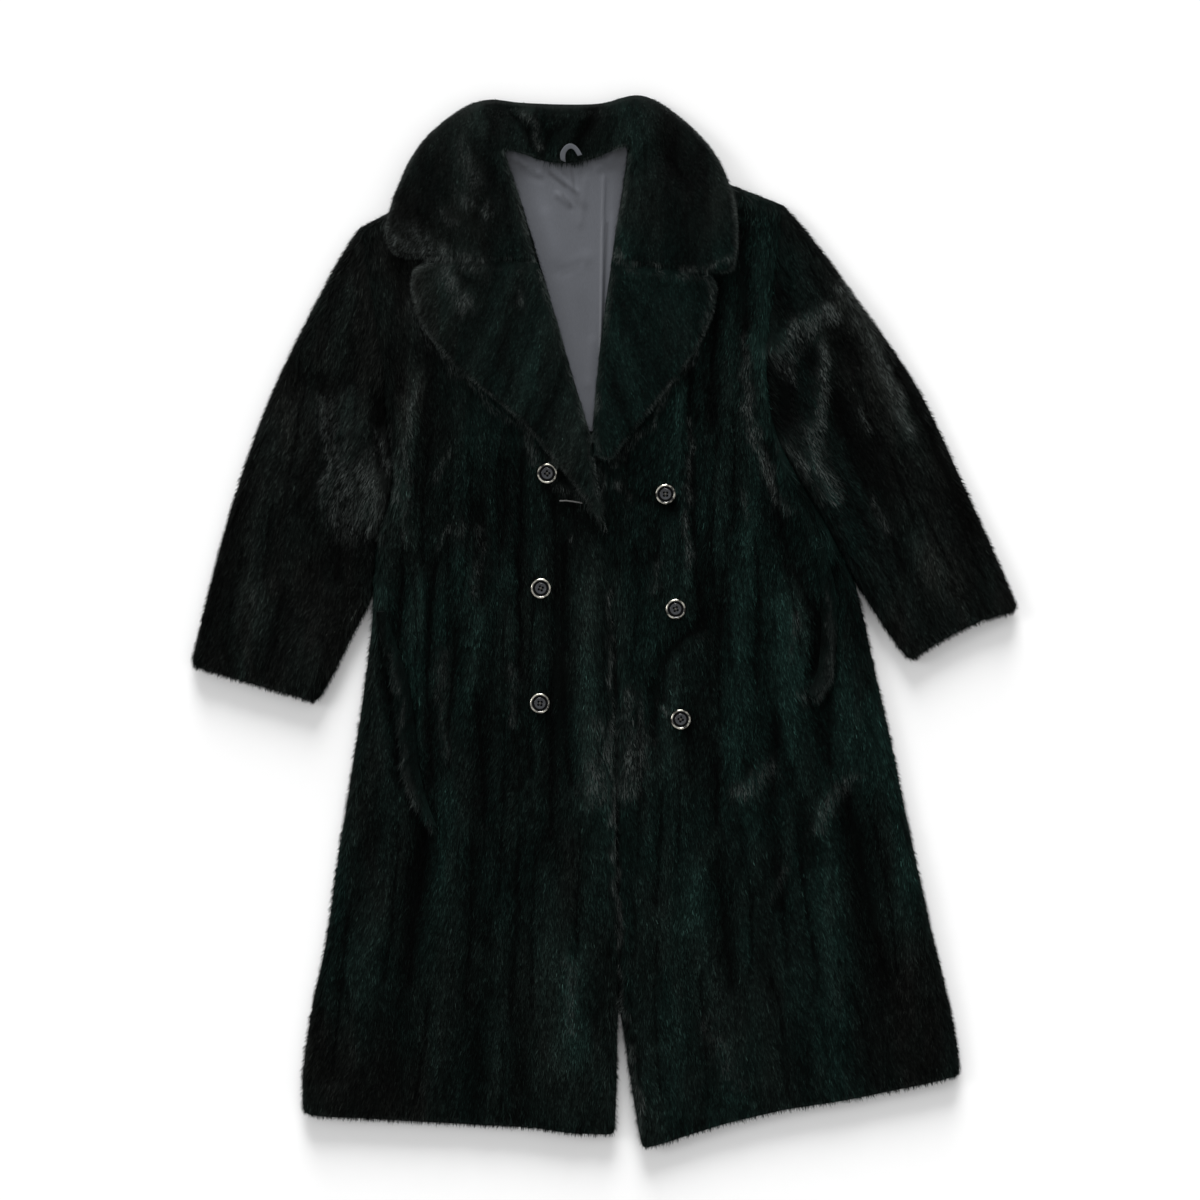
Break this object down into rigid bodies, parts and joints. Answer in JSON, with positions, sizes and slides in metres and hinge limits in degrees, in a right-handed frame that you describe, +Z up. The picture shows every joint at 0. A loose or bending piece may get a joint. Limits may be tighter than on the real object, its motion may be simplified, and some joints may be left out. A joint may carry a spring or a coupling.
{
  "type": "fur coat",
  "caption": "Full-length double-breasted dark fur coat with a wide notched collar, slit pockets and satin lining, laid flat on its back.",
  "frame": {"origin": "middle of the coat's bounding box, on the surface that the coat lies on", "axes": "+X across the coat towards the wearer's left side, +Y along the coat from hem to collar, +Z up out of its front"},
  "size_m": [0.974, 1.249, 0.0326],
  "materials": {
    "body_fur": "dark green-black short dense fur, softly glossy guard hairs",
    "sleeve_fur": "black short dense fur, softly glossy guard hairs",
    "satin": "grey satin lining",
    "horn": "polished horn-look button with a pale metallic rim",
    "wire": "thread-covered wire"
  },
  "bodies": {
    "root": {"back": "body_fur", "button_left_1": "horn", "button_left_2": "horn", "button_left_3": "horn", "button_right_1": "horn", "button_right_2": "horn", "button_right_3": "horn", "collar": "body_fur", "front_left": "body_fur", "front_right": "body_fur", "hanger_loop": "satin", "hook_eye": "wire", "lapel_left": "body_fur", "lapel_right": "body_fur", "lining": "satin", "pocket_lip_left": "body_fur", "pocket_lip_right": "body_fur", "sleeve_left": "sleeve_fur", "sleeve_right": "sleeve_fur"}
  },
  "joints": []
}
